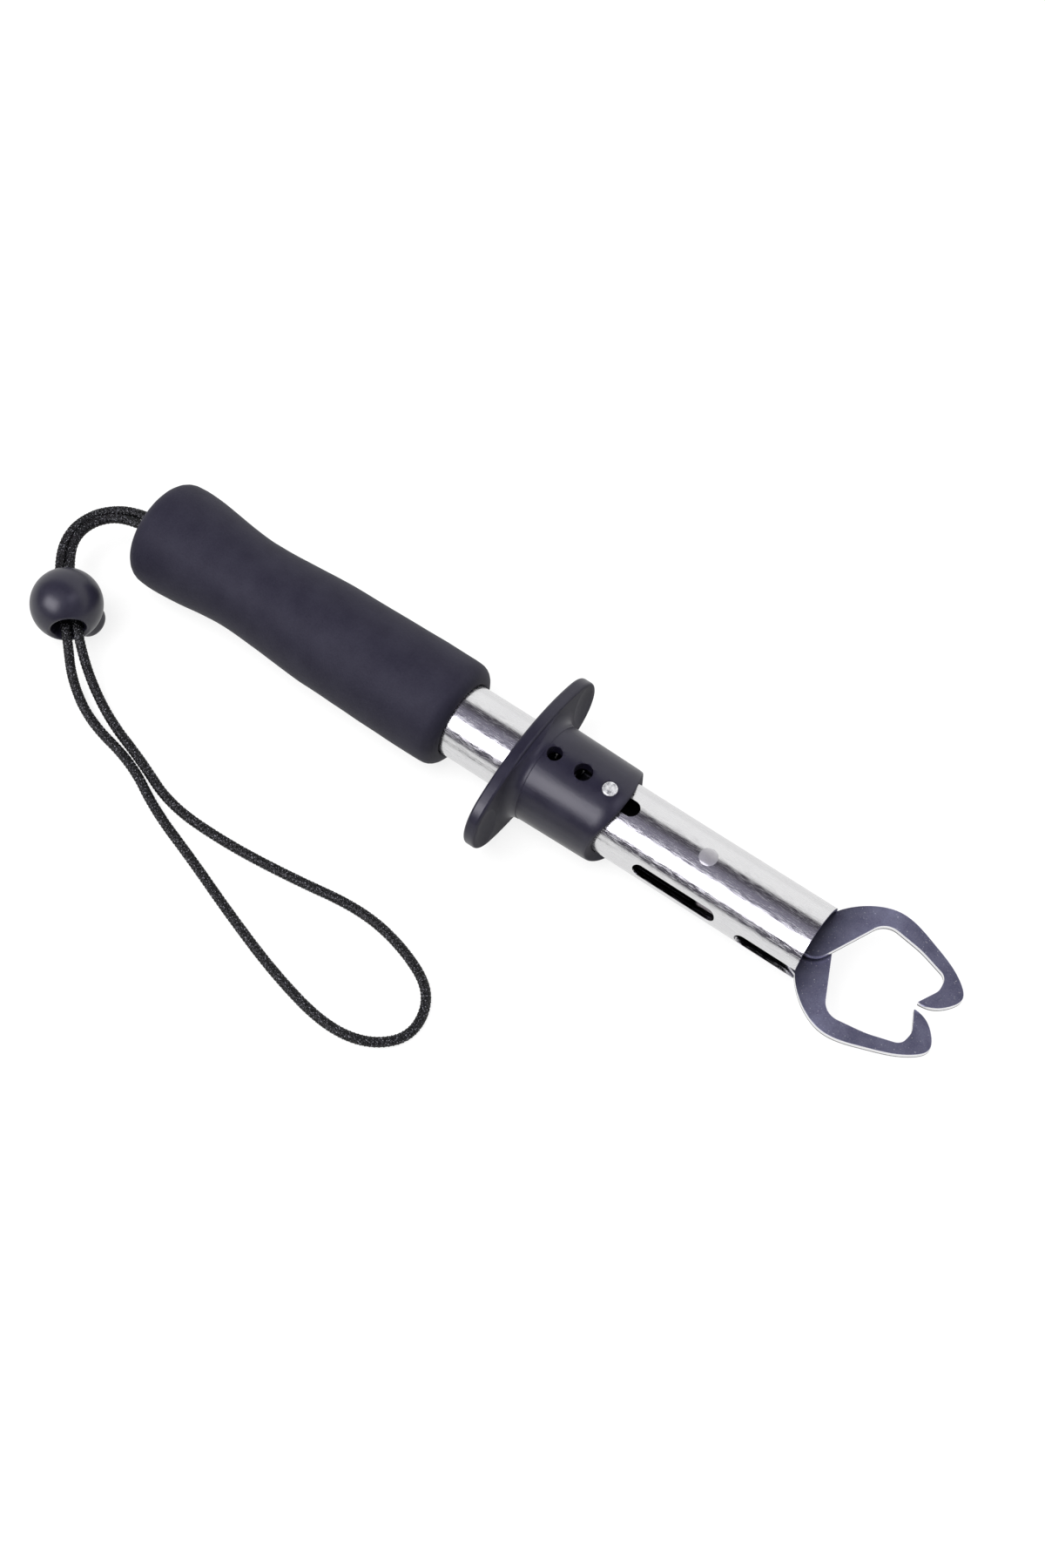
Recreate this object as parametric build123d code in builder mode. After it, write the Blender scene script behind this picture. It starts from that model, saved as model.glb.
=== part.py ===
"""Fish lip grip: spring-loaded jaws in a steel tube, worked by a sliding trigger collar.

The tube lies along X with the jaws at +X. Lengths are in millimetres, +Z is up, and the
origin is on the surface that the tool lies on, midway between the grip's rear face and
the crowns of the hooks.
"""

from build123d import *
from math import cos, pi, radians, sin, sqrt
import os

os.makedirs("parts", exist_ok=True)

# Driving dimensions. A setback is measured back from the mouth of the tube.

# barrel tube
tube_od = 21.0
tube_wall = 1.0
lip_thickness = 1.2
lip_bore = 14.0
rivet_setback = 33.3
heel_slot_rear_setback = 49.3
heel_slot_front_setback = 24.3
heel_slot_width = 4.4
heel_slot_height = 2.2
mouth_slot_depth = 17.9
trigger_slot_width = 4.8
trigger_slot_front_setback = 54.6
trigger_slot_rear_setback = 85.6

# foam grip
grip_front_setback = 110.5
grip_length = 104.0
grip_od = 31.2
waist_od = 26.9
swell_od = 30.0
front_crown_od = 30.8
rear_crown_from_end = 6.0
waist_from_rear = 32.5
swell_from_rear = 62.5
front_crown_from_end = 10.0
grip_end_drop = 0.3
grip_rear_edge_radius = 5.0
grip_front_edge_radius = 4.0
grip_rear_wall = 3.0
cord_hole = 7.6

# jaws
plate_thickness = 2.0
plate_gap = 0.5
jaw_open_angle = 13.0
trigger_travel = 12.0
cam_pin_setback = 44.3
cam_pin_od = 3.0
tail_length = 26.4
tail_half_width = 8.6
heel_length = 14.3
heel_toe = 2.2
heel_toe_half_width = 4.6
tail_inner_half_width = 3.0
shoulder_length = 8.5
shoulder_half_width = 6.6
neck_setback = 14.4
neck_half_width = 4.7
plate_root_radii = [6.0, 6.0, 4.0, 2.5, 1.5, 3.0, 1.5, 2.5]

# hook outline: forward of the tube's mouth, and out from the centre line
hook_tip = (29.4, 0.5)
hook_chin = (33.0, 1.1)
hook_nose = (36.6, 4.0)
hook_crown = (38.2, 7.6)
hook_brow = (35.4, 11.3)
arm_front = (25.0, 16.3)
arm_rear = (13.5, 18.9)
hook_neck = (5.0, 15.2)
hook_heel = (0.0, 9.9)
throat_root = (2.9, -4.3)
throat_rear = (11.8, 14.6)
throat_crest = (23.0, 13.0)
throat_front = (31.8, 10.3)
throat_tip = (32.3, 6.2)
throat_radii = [5.0, 5.0, 25.0, 2.8, 3.5]

# pivot
rivet_od = 5.0
spacer_od = 8.0
jaw_washer_od = 9.0

# trigger collar
collar_od = 28.3
collar_front_od = 22.4
collar_nose_od = 27.3
collar_nose_length = 6.0
collar_front_setback = 57.0
saddle_depth = 4.7
collar_edge_radius = 0.8
flange_rear_setback = 90.4
flange_thickness = 3.5
flange_width = 55.6
flange_end_radius = 12.0
flange_root_radius = 3.5
flange_edge_radius = 0.8
finger_dish_depth = 0.7
finger_dish_margin = 1.5
finger_dish_height = 16.4
collar_pin_setback = 63.7
collar_pin_od = 4.2
collar_pin_inset = 0.3
middle_hole_setback = 71.9
middle_hole_od = 5.0
rear_hole_setback = 80.9
rear_hole_od = 4.2

# plunger and return spring
plunger_front_setback = 60.6
plunger_body_length = 12.6
prong_thickness = 3.0
prong_width = 8.4
spigot_od = 9.0
spigot_length = 12.0
spring_od = 15.6
spring_wire = 1.3
spring_turns = 11
spring_washer_thickness = 1.2
spring_washer_bore = 6.0
stop_pin_od = 3.0
stop_pin_setback = 126.0

# lanyard
cord_od = 2.7
strand_spacing = 3.2
strand_spacing_in_lock = 2.9
knot_washer_thickness = 1.5
knot_washer_bore = 7.2
knot_od = 11.0
knot_length = 10.0

# cord lock
lock_x = -132.3
lock_y = -32.8
lock_height = 13.4
lock_od = 20.0
lock_heading = -46.0
lock_button_drop = 65.0
lock_hole = 9.4
lock_hole_edge = 0.8
button_od = 9.4
button_reach = 13.0
button_travel = 2.5
button_rear = 4.7
button_hole_rear = 2.4
button_hole_length = 9.0
button_hole_width = 7.0
button_edge_radius = 1.8
strands_in_offset = -0.5
strands_out_offset = 0.9
strands_below_centre = 0.6
lock_bore_depth = 7.4
lock_spring_pocket = 7.2
lock_spring_seat = 8.4
lock_spring_od = 6.0
lock_spring_wire = 0.6
lock_spring_turns = 3

# clearances, on the radius or between faces
pin_clearance = 0.08
slide_clearance = 0.15
face_clearance = 0.1
seat_clearance = 0.05
spring_end_gap = 0.1

# Derived places
rear_setback = grip_front_setback + grip_length
jaw_reach = hook_crown[0]
mouth_x = (rear_setback - jaw_reach) / 2
axis_z = grip_od / 2
tube_r = tube_od / 2
bore_r = tube_r - tube_wall
grip_rear_x = mouth_x - rear_setback
grip_front_x = mouth_x - grip_front_setback
tube_rear_x = grip_rear_x + grip_rear_wall
tube_length = mouth_x - tube_rear_x
pivot_x = mouth_x - rivet_setback
cam_pin_x = mouth_x - cam_pin_setback
collar_pin_x = mouth_x - collar_pin_setback
stack_half = plate_thickness + plate_gap / 2
main_axis = Axis((0, 0, axis_z), (1, 0, 0))


def across(x):
    """Plane square to the tube at x: its own x is the model's Y and its own y is Z."""
    return Plane(origin=(x, 0, axis_z), x_dir=(0, 1, 0), z_dir=(1, 0, 0))


def level(x, height):
    """Horizontal plane at a height above the tube's centre line, centred at x."""
    return Plane(origin=(x, 0, axis_z + height), x_dir=(1, 0, 0), z_dir=(0, 0, 1))


def upright(x, height=0, facing=-1):
    """Vertical plane along the tube, facing -Y or +Y, centred at x and a height."""
    return Plane(origin=(x, 0, axis_z + height), x_dir=(1, 0, 0), z_dir=(0, facing, 0))


# Barrel tube: drawn steel, its rear edge rolled in, slotted for the pin and the plates.
with BuildPart() as barrel_tube:
    with BuildSketch(across(tube_rear_x)):
        Circle(tube_r)
    extrude(amount=tube_length)
    with BuildSketch(across(tube_rear_x + lip_thickness)):
        Circle(bore_r)
    extrude(amount=tube_length, mode=Mode.SUBTRACT)
    with BuildSketch(across(tube_rear_x)):
        Circle(lip_bore / 2)
    extrude(amount=lip_thickness, mode=Mode.SUBTRACT)
    trigger_slot_x = mouth_x - (trigger_slot_front_setback + trigger_slot_rear_setback) / 2
    with BuildSketch(level(trigger_slot_x, 0)):
        SlotOverall(trigger_slot_rear_setback - trigger_slot_front_setback, trigger_slot_width)
    extrude(amount=tube_od, both=True, mode=Mode.SUBTRACT)
    heel_slot_x = mouth_x - (heel_slot_rear_setback + heel_slot_front_setback) / 2
    for side in (-1, 1):
        with BuildSketch(upright(heel_slot_x, -side * heel_slot_height, side)):
            SlotOverall(heel_slot_rear_setback - heel_slot_front_setback, heel_slot_width)
        extrude(amount=tube_od, mode=Mode.SUBTRACT)
    mouth_slot_width = 2 * (stack_half + 2.5 * face_clearance)
    with BuildSketch(upright(mouth_x)):
        SlotOverall(2 * mouth_slot_depth, mouth_slot_width)
    extrude(amount=tube_od, both=True, mode=Mode.SUBTRACT)
    with BuildSketch(level(pivot_x, 0)):
        Circle(rivet_od / 2)
    extrude(amount=tube_od, both=True, mode=Mode.SUBTRACT)
    with BuildSketch(level(mouth_x - stop_pin_setback, 0)):
        Circle(stop_pin_od / 2)
    extrude(amount=tube_od, both=True, mode=Mode.SUBTRACT)
barrel_tube.part.label = "barrel_tube"
export_step(barrel_tube.part, "parts/barrel_tube.step")

# Foam grip: turned EVA sleeve with a waist behind the palm, closed at the rear but for
# the hole that the lanyard leaves by.
with BuildPart() as grip_sleeve:
    swell_slope = (front_crown_od - swell_od) / grip_length
    with BuildSketch(upright(0)):
        with BuildLine():
            outer = Spline(
                (grip_rear_x, grip_od / 2 - grip_end_drop),
                (grip_rear_x + rear_crown_from_end, grip_od / 2),
                (grip_rear_x + waist_from_rear, waist_od / 2),
                (grip_rear_x + swell_from_rear, swell_od / 2),
                (grip_front_x - front_crown_from_end, front_crown_od / 2),
                (grip_front_x, front_crown_od / 2 - grip_end_drop),
                tangents=[(1, 0.1), (1, 0), (1, 0), (1, swell_slope), (1, 0), (1, -0.1)],
            )
            Polyline(outer @ 1, (grip_front_x, 0), (grip_rear_x, 0), outer @ 0)
        make_face()
    revolve(axis=main_axis)
    rims = grip_sleeve.edges().filter_by(GeomType.CIRCLE).sort_by(Axis.X)
    fillet(rims[0], radius=grip_rear_edge_radius)
    rims = grip_sleeve.edges().filter_by(GeomType.CIRCLE).sort_by(Axis.X)
    fillet(rims[-1], radius=grip_front_edge_radius)
    with BuildSketch(across(tube_rear_x)):
        Circle(tube_r)
    extrude(amount=grip_length, mode=Mode.SUBTRACT)
    with BuildSketch(across(grip_rear_x)):
        Circle(cord_hole / 2)
    extrude(amount=grip_rear_wall, mode=Mode.SUBTRACT)
grip_sleeve.part.label = "grip_sleeve"
export_step(grip_sleeve.part, "parts/grip_sleeve.step")

# Knot washer: steel, caught behind the tube's rolled lip, for the lanyard to pull on.
knot_washer_x = tube_rear_x + lip_thickness
with BuildPart() as knot_washer:
    with BuildSketch(across(knot_washer_x)):
        Circle(bore_r - slide_clearance)
        Circle(knot_washer_bore / 2, mode=Mode.SUBTRACT)
    extrude(amount=knot_washer_thickness)
knot_washer.part.label = "knot_washer"
export_step(knot_washer.part, "parts/knot_washer.step")

# Stop pin: steel, across the tube under the foam, trimmed to stay inside its wall.
with BuildPart() as stop_pin:
    pin_half = sqrt(tube_r**2 - (stop_pin_od / 2) ** 2)
    with BuildSketch(level(mouth_x - stop_pin_setback, 0)):
        Circle(stop_pin_od / 2)
    extrude(amount=pin_half, both=True)
stop_pin.part.label = "stop_pin"
export_step(stop_pin.part, "parts/stop_pin.step")

# Spring washer: steel, it rests on the stop pin and carries the return spring.
spring_washer_x = mouth_x - stop_pin_setback + stop_pin_od / 2
with BuildPart() as spring_washer:
    with BuildSketch(across(spring_washer_x)):
        Circle(bore_r - slide_clearance)
        Circle(spring_washer_bore / 2, mode=Mode.SUBTRACT)
    extrude(amount=spring_washer_thickness)
spring_washer.part.label = "spring_washer"
export_step(spring_washer.part, "parts/spring_washer.step")

# Pivot rivet: steel, ground flush with the round of the tube at both ends.
with BuildPart() as pivot_rivet:
    with BuildSketch(level(pivot_x, 0)):
        Circle(rivet_od / 2)
    extrude(amount=tube_od, both=True)
    with BuildSketch(across(pivot_x - rivet_od)):
        Circle(tube_r)
    extrude(amount=2 * rivet_od, mode=Mode.INTERSECT)
pivot_rivet.part.label = "pivot_rivet"
export_step(pivot_rivet.part, "parts/pivot_rivet.step")

# Pivot spacers: nylon sleeves on the rivet that keep the plates on the centre line.
spacer_end = sqrt(bore_r**2 - (spacer_od / 2) ** 2) - seat_clearance
for name, side in (("upper_spacer", 1), ("lower_spacer", -1)):
    with BuildPart() as spacer:
        with BuildSketch(level(pivot_x, side * (stack_half + face_clearance))):
            Circle(spacer_od / 2)
            Circle(rivet_od / 2 + seat_clearance, mode=Mode.SUBTRACT)
        extrude(amount=side * (spacer_end - stack_half - face_clearance))
    spacer.part.label = name
    export_step(spacer.part, f"parts/{name}.step")

# Jaw washer: thin nylon disc between the two plates at the pivot.
with BuildPart() as jaw_washer:
    with BuildSketch(level(pivot_x, 0)):
        Circle(jaw_washer_od / 2)
        Circle(rivet_od / 2 + seat_clearance, mode=Mode.SUBTRACT)
    extrude(amount=plate_gap / 2 - seat_clearance, both=True)
jaw_washer.part.label = "jaw_washer"
export_step(jaw_washer.part, "parts/jaw_washer.step")

# Jaws. Each is one stamped plate: hook, shank, pivot hole, heel, and a tail with the cam
# slot. The slot is a spiral, so that each millimetre of trigger travel turns the jaw by
# the same angle. Places on a plate are measured from the pivot, for the upper jaw, whose
# hook lies at +Y. The lower jaw is its mirror image.
cam_radius = cam_pin_setback - rivet_setback
turn_per_mm = radians(jaw_open_angle) / trigger_travel
slot_half_width = cam_pin_od / 2 + pin_clearance


def cam_track(travel, offset=0):
    """Point of the cam slot that meets the pin after some travel, moved off its middle."""
    angle = turn_per_mm * travel
    radius = cam_radius + travel
    along = Vector(
        radius * turn_per_mm * sin(angle) - cos(angle),
        radius * turn_per_mm * cos(angle) + sin(angle),
    ).normalized()
    middle = Vector(-radius * cos(angle), radius * sin(angle))
    return middle + Vector(-along.Y, along.X) * offset


def cam_end(travel, direction):
    """Furthest point of the cam slot's round end, past the given travel."""
    along = (cam_track(travel + 0.01) - cam_track(travel)).normalized()
    return cam_track(travel) + along * (direction * slot_half_width)


def jaw_plate(side):
    """Finished plate at rest; side is 1 for the upper jaw and -1 for the lower one."""
    base = plate_gap / 2 if side > 0 else -stack_half

    def at(x, y):
        return (x, side * y)

    def ahead(spot):
        return at(rivet_setback + spot[0], spot[1])

    def slot_edge(offset):
        spots = [cam_track(trigger_travel * step / 4, offset) for step in range(5)]
        return [at(spot.X, spot.Y) for spot in spots]

    with BuildPart() as plate:
        with BuildSketch(level(pivot_x, base)):
            with BuildLine():
                hook = Spline(
                    ahead(hook_tip),
                    ahead(hook_chin),
                    ahead(hook_nose),
                    ahead(hook_crown),
                    ahead(hook_brow),
                    ahead(arm_front),
                    ahead(arm_rear),
                    ahead(hook_neck),
                    ahead(hook_heel),
                )
                FilletPolyline(
                    hook @ 1,
                    at(rivet_setback - neck_setback, neck_half_width),
                    at(shoulder_length, shoulder_half_width),
                    at(0, tail_half_width),
                    at(-tail_length, tail_half_width),
                    at(-tail_length, -tail_inner_half_width),
                    at(-heel_length - heel_toe, -heel_toe_half_width),
                    at(-heel_length, -tail_half_width),
                    at(shoulder_length, -tail_half_width),
                    ahead(throat_root),
                    ahead(throat_rear),
                    ahead(throat_crest),
                    ahead(throat_front),
                    ahead(throat_tip),
                    hook @ 0,
                    radius=plate_root_radii + throat_radii,
                )
            make_face()
            Circle(rivet_od / 2 + pin_clearance, mode=Mode.SUBTRACT)
            with BuildLine():
                outer = Spline(*slot_edge(slot_half_width))
                inner = Spline(*slot_edge(-slot_half_width))
                rear = cam_end(trigger_travel, 1)
                front = cam_end(0, -1)
                ThreePointArc(outer @ 1, at(rear.X, rear.Y), inner @ 1)
                ThreePointArc(outer @ 0, at(front.X, front.Y), inner @ 0)
            make_face(mode=Mode.SUBTRACT)
        extrude(amount=plate_thickness)
    return plate.part


with BuildPart() as upper_jaw:
    add(jaw_plate(1))
upper_jaw.part.label = "upper_jaw"
export_step(upper_jaw.part, "parts/upper_jaw.step")

with BuildPart() as lower_jaw:
    add(jaw_plate(-1))
lower_jaw.part.label = "lower_jaw"
export_step(lower_jaw.part, "parts/lower_jaw.step")

# Trigger collar: moulded nylon barrel on the tube with an oval finger flange. Its front
# is scooped into a saddle, and it has three cross holes, the front one for the pin.
collar_length = flange_rear_setback - collar_front_setback
flange_rear_x = mouth_x - flange_rear_setback
flange_front_x = flange_rear_x + flange_thickness
collar_front_x = mouth_x - collar_front_setback
flange_half_height = axis_z
collar_nose_x = collar_front_x - collar_nose_length
collar_slope = (collar_nose_od - collar_od) / 2 / (collar_nose_x - flange_rear_x)
saddle_radius = (saddle_depth**2 + (collar_nose_od / 2) ** 2) / (2 * saddle_depth)


def oval(half_width, half_height, end_radius):
    """Four-arc oval face, wider than it is high."""
    end_x = half_width - end_radius
    rise = half_height - end_radius
    crown_radius = (end_x**2 + half_height**2 - end_radius**2) / (2 * rise)
    drop = crown_radius - half_height
    reach = sqrt(end_x**2 + drop**2)
    join_x = end_x * (1 + end_radius / reach)
    join_y = drop * end_radius / reach
    with BuildSketch() as outline:
        with BuildLine():
            ThreePointArc((-join_x, join_y), (0, half_height), (join_x, join_y))
            ThreePointArc((join_x, join_y), (half_width, 0), (join_x, -join_y))
            ThreePointArc((join_x, -join_y), (0, -half_height), (-join_x, -join_y))
            ThreePointArc((-join_x, -join_y), (-half_width, 0), (-join_x, join_y))
        make_face()
    return outline.sketch


def root_fairing():
    """Concave ring in the corner between flange and barrel, kept inside the flange's rim."""
    with BuildPart() as fairing:
        with BuildSketch(upright(flange_front_x)):
            with Locations((flange_root_radius / 2, collar_od / 2)):
                Rectangle(flange_root_radius, 2 * flange_root_radius)
            with Locations((flange_root_radius, collar_od / 2 + flange_root_radius)):
                Circle(flange_root_radius, mode=Mode.SUBTRACT)
        revolve(axis=main_axis)
        with BuildSketch(across(flange_front_x)):
            add(oval(
                flange_width / 2 - flange_edge_radius,
                flange_half_height - flange_edge_radius,
                flange_end_radius - flange_edge_radius,
            ))
        extrude(amount=flange_root_radius, mode=Mode.INTERSECT)
    return fairing.part


def finger_dish(side):
    """Shallow round-bottomed dish in one wing of the flange, between root and rim."""
    inner = collar_od / 2 + flange_root_radius + seat_clearance
    outer = flange_width / 2 - finger_dish_margin
    half_width = (outer - inner) / 2
    girth = (half_width**2 + finger_dish_depth**2) / (2 * finger_dish_depth)
    middle = (flange_front_x + girth - finger_dish_depth, side * (inner + outer) / 2, axis_z)
    with BuildPart() as dish:
        with BuildSketch(Plane(origin=middle, x_dir=(1, 0, 0), z_dir=(0, -1, 0))):
            Ellipse(girth, finger_dish_height / 2 * girth / half_width)
            with Locations((girth, 0)):
                Rectangle(2 * girth, finger_dish_height * girth, mode=Mode.SUBTRACT)
        revolve(axis=Axis(middle, (0, 0, 1)))
    return dish.part


with BuildPart() as trigger_collar:
    with BuildSketch(across(flange_rear_x)):
        add(oval(flange_width / 2, flange_half_height, flange_end_radius))
    extrude(amount=flange_thickness)
    fillet(trigger_collar.faces().sort_by(Axis.X)[0].edges(), radius=flange_edge_radius)
    fillet(trigger_collar.faces().sort_by(Axis.X)[-1].edges(), radius=flange_edge_radius)
    for side in (-1, 1):
        add(finger_dish(side), mode=Mode.SUBTRACT)
    with BuildSketch(upright(0)):
        with BuildLine():
            barrel = Line((flange_rear_x, collar_od / 2), (collar_nose_x, collar_nose_od / 2))
            nose = TangentArc(
                barrel @ 1,
                (collar_front_x, collar_front_od / 2),
                tangent=(1, collar_slope),
            )
            Polyline(nose @ 1, (collar_front_x, 0), (flange_rear_x, 0), barrel @ 0)
        make_face()
    revolve(axis=main_axis)
    with BuildSketch(upright(collar_front_x - saddle_depth + saddle_radius)):
        Circle(saddle_radius)
    extrude(amount=collar_od, both=True, mode=Mode.SUBTRACT)
    fillet(trigger_collar.edges().sort_by(Axis.X)[-1], radius=collar_edge_radius)
    add(root_fairing())
    with BuildSketch(across(flange_rear_x)):
        Circle(tube_r + slide_clearance)
    extrude(amount=collar_length, mode=Mode.SUBTRACT)
    cross_holes = (
        (collar_pin_setback, collar_pin_od),
        (middle_hole_setback, middle_hole_od),
        (rear_hole_setback, rear_hole_od),
    )
    for setback, hole_od in cross_holes:
        with BuildSketch(level(mouth_x - setback, 0)):
            Circle(hole_od / 2)
        extrude(amount=collar_od, both=True, mode=Mode.SUBTRACT)
trigger_collar.part.label = "trigger_collar"
export_step(trigger_collar.part, "parts/trigger_collar.step")

# Collar pin: steel, through the collar, both tube slots and the plunger.
with BuildPart() as collar_pin:
    with BuildSketch(level(collar_pin_x, 0)):
        Circle(collar_pin_od / 2)
    extrude(amount=collar_od / 2 - collar_pin_inset, both=True)
    chamfer(collar_pin.edges().filter_by(GeomType.CIRCLE), length=collar_pin_inset)
collar_pin.part.label = "collar_pin"
export_step(collar_pin.part, "parts/collar_pin.step")

# Plunger: steel body that slides in the bore, with two prongs that straddle the plates,
# and a spigot behind that guides the return spring.
plunger_front_x = mouth_x - plunger_front_setback
plunger_rear_x = plunger_front_x - plunger_body_length
prong_face = stack_half + slide_clearance
with BuildPart() as plunger:
    with BuildSketch(across(plunger_rear_x)):
        Circle(bore_r - slide_clearance)
    extrude(amount=plunger_body_length)
    chamfer(plunger.edges().filter_by(GeomType.CIRCLE), length=0.5)
    with BuildSketch(across(plunger_rear_x)):
        Circle(spigot_od / 2)
    extrude(amount=-spigot_length)
    for side in (-1, 1):
        with BuildSketch(level(0, side * prong_face)):
            with Locations((cam_pin_x, 0)):
                Circle(prong_width / 2)
            with Locations(((cam_pin_x + plunger_front_x) / 2, 0)):
                Rectangle(cam_pin_x - plunger_front_x + 2, prong_width)
        extrude(amount=side * prong_thickness)
    with BuildSketch(level(0, 0)):
        with Locations((cam_pin_x, 0)):
            Circle(cam_pin_od / 2)
        with Locations((collar_pin_x, 0)):
            Circle(collar_pin_od / 2)
    extrude(amount=tube_od, both=True, mode=Mode.SUBTRACT)
plunger.part.label = "plunger"
export_step(plunger.part, "parts/plunger.step")

# Cam pin: steel, pressed across the prongs, and through both cam slots.
with BuildPart() as cam_pin:
    with BuildSketch(level(cam_pin_x, 0)):
        Circle(cam_pin_od / 2)
    extrude(amount=prong_face + prong_thickness, both=True)
cam_pin.part.label = "cam_pin"
export_step(cam_pin.part, "parts/cam_pin.step")


def coil(start, direction, length, outer_d, wire_d, turns):
    """Coil spring from a seat at start, of the given overall length, its wire eight-sided."""
    rise = length - wire_d
    with BuildPart() as part:
        with BuildLine():
            path = Helix(
                pitch=rise / turns,
                height=rise,
                radius=(outer_d - wire_d) / 2,
                center=start + direction * (wire_d / 2),
                direction=direction,
            )
        with BuildSketch(Plane(origin=path @ 0, z_dir=path % 0)):
            RegularPolygon(wire_d / 2, 8)
        sweep(path=path)
    return part.part


# Return spring: steel coil between the plunger's rear face and the spring washer.
spring_start_x = spring_washer_x + spring_washer_thickness + spring_end_gap
spring_length = plunger_rear_x - spring_end_gap - spring_start_x
spring_seat = Vector(spring_start_x, 0, axis_z)
with BuildPart() as return_spring:
    add(coil(spring_seat, Vector(1, 0, 0), spring_length, spring_od, spring_wire, spring_turns))
return_spring.part.label = "return_spring"
export_step(return_spring.part, "parts/return_spring.step")

# Cord lock, a ball with a big hole along the cord and a sprung button across it.
heading = radians(lock_heading)
drop = radians(lock_button_drop)
lock_centre = Vector(lock_x, lock_y, lock_height)
cord_way = Vector(cos(heading), sin(heading), 0)
strand_way = Vector(-sin(heading), cos(heading), 0)
button_way = strand_way * cos(drop) - Vector(0, 0, 1) * sin(drop)


def lock_plane(along, offset=0):
    """Plane square to a direction through the ball, a distance from its centre."""
    other = cord_way if along == button_way else button_way
    return Plane(origin=lock_centre + along * offset, x_dir=other, z_dir=along)


with BuildPart() as cord_lock_body:
    with Locations(lock_centre):
        Sphere(lock_od / 2)
    with BuildSketch(lock_plane(cord_way)):
        Circle(lock_hole / 2)
    extrude(amount=lock_od, both=True, mode=Mode.SUBTRACT)
    fillet(cord_lock_body.edges().filter_by(GeomType.CIRCLE), radius=lock_hole_edge)
    with BuildSketch(lock_plane(button_way, -lock_bore_depth)):
        Circle(button_od / 2 + slide_clearance)
    extrude(amount=lock_od, mode=Mode.SUBTRACT)
    with BuildSketch(lock_plane(button_way, -lock_spring_seat)):
        Circle(lock_spring_pocket / 2)
    extrude(amount=lock_bore_depth, mode=Mode.SUBTRACT)
cord_lock_body.part.label = "cord_lock_body"
export_step(cord_lock_body.part, "parts/cord_lock_body.step")

with BuildPart() as cord_lock_button:
    with BuildSketch(lock_plane(button_way, -button_rear)):
        Circle(button_od / 2)
    extrude(amount=button_rear + button_reach)
    outer_rim = cord_lock_button.edges().filter_by(GeomType.CIRCLE).sort_by_distance(lock_centre)
    fillet(outer_rim[-1], radius=button_edge_radius)
    hole_middle = lock_centre + button_way * (button_hole_length / 2 - button_hole_rear)
    with BuildSketch(Plane(origin=hole_middle, x_dir=button_way, z_dir=cord_way)):
        SlotOverall(button_hole_length, button_hole_width)
    extrude(amount=lock_od, both=True, mode=Mode.SUBTRACT)
cord_lock_button.part.label = "cord_lock_button"
export_step(cord_lock_button.part, "parts/cord_lock_button.step")

# Lock spring: steel coil in the pocket behind the button.
lock_seat = lock_centre - button_way * (lock_spring_seat - seat_clearance)
lock_spring_length = lock_spring_seat - button_rear - 2 * seat_clearance
with BuildPart() as cord_lock_spring:
    lock_coil = (lock_spring_od, lock_spring_wire, lock_spring_turns)
    add(coil(lock_seat, button_way, lock_spring_length, *lock_coil))
cord_lock_spring.part.label = "cord_lock_spring"
export_step(cord_lock_spring.part, "parts/cord_lock_spring.step")

# Lanyard knot: both ends of the cord tied together inside the tube, behind the washer.
knot_x = knot_washer_x + knot_washer_thickness
with BuildPart() as lanyard_knot:
    with BuildSketch(upright(knot_x)):
        with Locations((knot_length / 3, 0)):
            Ellipse(knot_length * 2 / 3, knot_od / 2)
        with Locations((-knot_length, 0)):
            Rectangle(2 * knot_length, 2 * knot_od, mode=Mode.SUBTRACT)
        with Locations((0, -knot_od)):
            Rectangle(4 * knot_length, 2 * knot_od, mode=Mode.SUBTRACT)
    revolve(axis=main_axis)
lanyard_knot.part.label = "lanyard_knot"
export_step(lanyard_knot.part, "parts/lanyard_knot.step")

# Lanyard: one braided cord, doubled, out of the grip, through the lock and round a loop.
lie = cord_od / 2
half_spacing = strand_spacing / 2
strands_middle = lock_centre - Vector(0, 0, strands_below_centre)
lock_in = strands_middle - cord_way * 11.5 + strand_way * strands_in_offset
lock_out = strands_middle + cord_way * 11.0 + strand_way * strands_out_offset
left = strand_way * (-strand_spacing_in_lock / 2)
right = strand_way * (strand_spacing_in_lock / 2)
cord_points = [
    (knot_x, half_spacing, axis_z),
    (-132.5, half_spacing, axis_z),
    (-143.4, -4.6, 15.0),
    (-147.2, -15.0, 13.8),
    lock_in + left,
    lock_out + left,
    (-119.8, -47.5, 5.5),
    (-109.5, -53.2, lie),
    (-92.0, -56.4, lie),
    (-77.8, -63.8, lie),
    (-60.8, -69.3, lie),
    (-42.8, -75.8, lie),
    (-22.8, -82.2, lie),
    (-3.8, -86.0, lie),
    (9.0, -83.4, lie),
    (16.6, -75.0, lie),
    (13.2, -63.0, lie),
    (-0.3, -57.0, lie),
    (-15.8, -54.8, lie),
    (-36.8, -58.3, lie),
    (-56.8, -60.4, lie),
    (-75.8, -60.2, lie),
    (-90.6, -54.3, lie),
    (-104.6, -50.0, lie),
    (-115.3, -44.8, 5.5),
    lock_out + right,
    lock_in + right,
    (-145.0, -14.3, 13.8),
    (-140.8, -5.2, 15.0),
    (-130.8, -half_spacing, axis_z),
    (knot_x, -half_spacing, axis_z),
]
cord_route = [Vector(*point) if isinstance(point, tuple) else point for point in cord_points]
runs = [after - before for before, after in zip(cord_route, cord_route[1:])]
cord_radii = []
for before, after in zip(runs, runs[1:]):
    turn = radians(before.get_angle(after))
    cord_radii.append(0.45 * min(before.length, after.length) / (sin(turn / 2) / cos(turn / 2)))
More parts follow.
